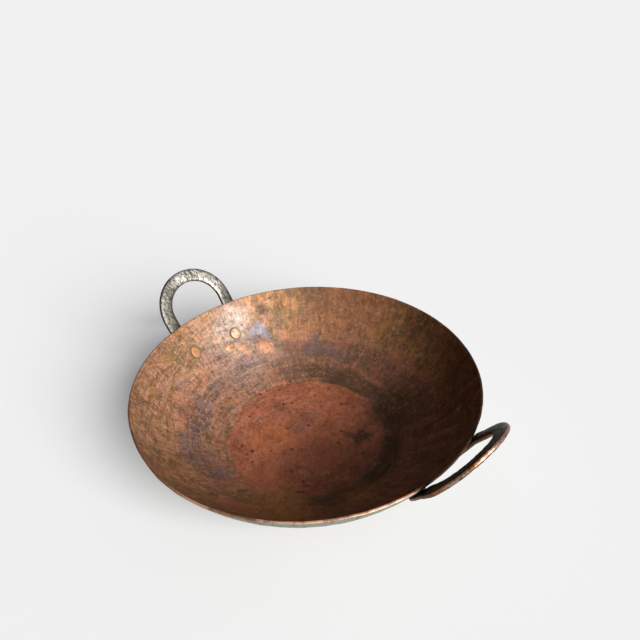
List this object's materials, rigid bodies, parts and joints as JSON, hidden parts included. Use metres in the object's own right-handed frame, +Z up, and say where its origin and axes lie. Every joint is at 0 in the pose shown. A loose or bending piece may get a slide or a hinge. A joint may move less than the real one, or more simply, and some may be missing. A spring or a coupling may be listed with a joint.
{
  "type": "two-handled pan",
  "caption": "Wide shallow round-bottomed copper pan with a small flat base, and an upright forged loop handle riveted to the wall at each side.",
  "frame": {"origin": "middle of the base's underside, on the surface that the pan stands on", "axes": "+Z up out of the bowl, X through the two handles, with the handle that the picture shows near the camera at +X"},
  "size_m": [0.4522, 0.38, 0.1418],
  "materials": {
    "pan_copper": "aged, hammered",
    "handle_copper": "aged, forged",
    "rivet_copper": "aged, peened"
  },
  "bodies": {
    "root": {"pan_body": "pan_copper", "left_handle": "handle_copper", "left_rivet_front": "rivet_copper", "left_rivet_back": "rivet_copper", "right_handle": "handle_copper", "right_rivet_front": "rivet_copper", "right_rivet_back": "rivet_copper"}
  },
  "joints": []
}
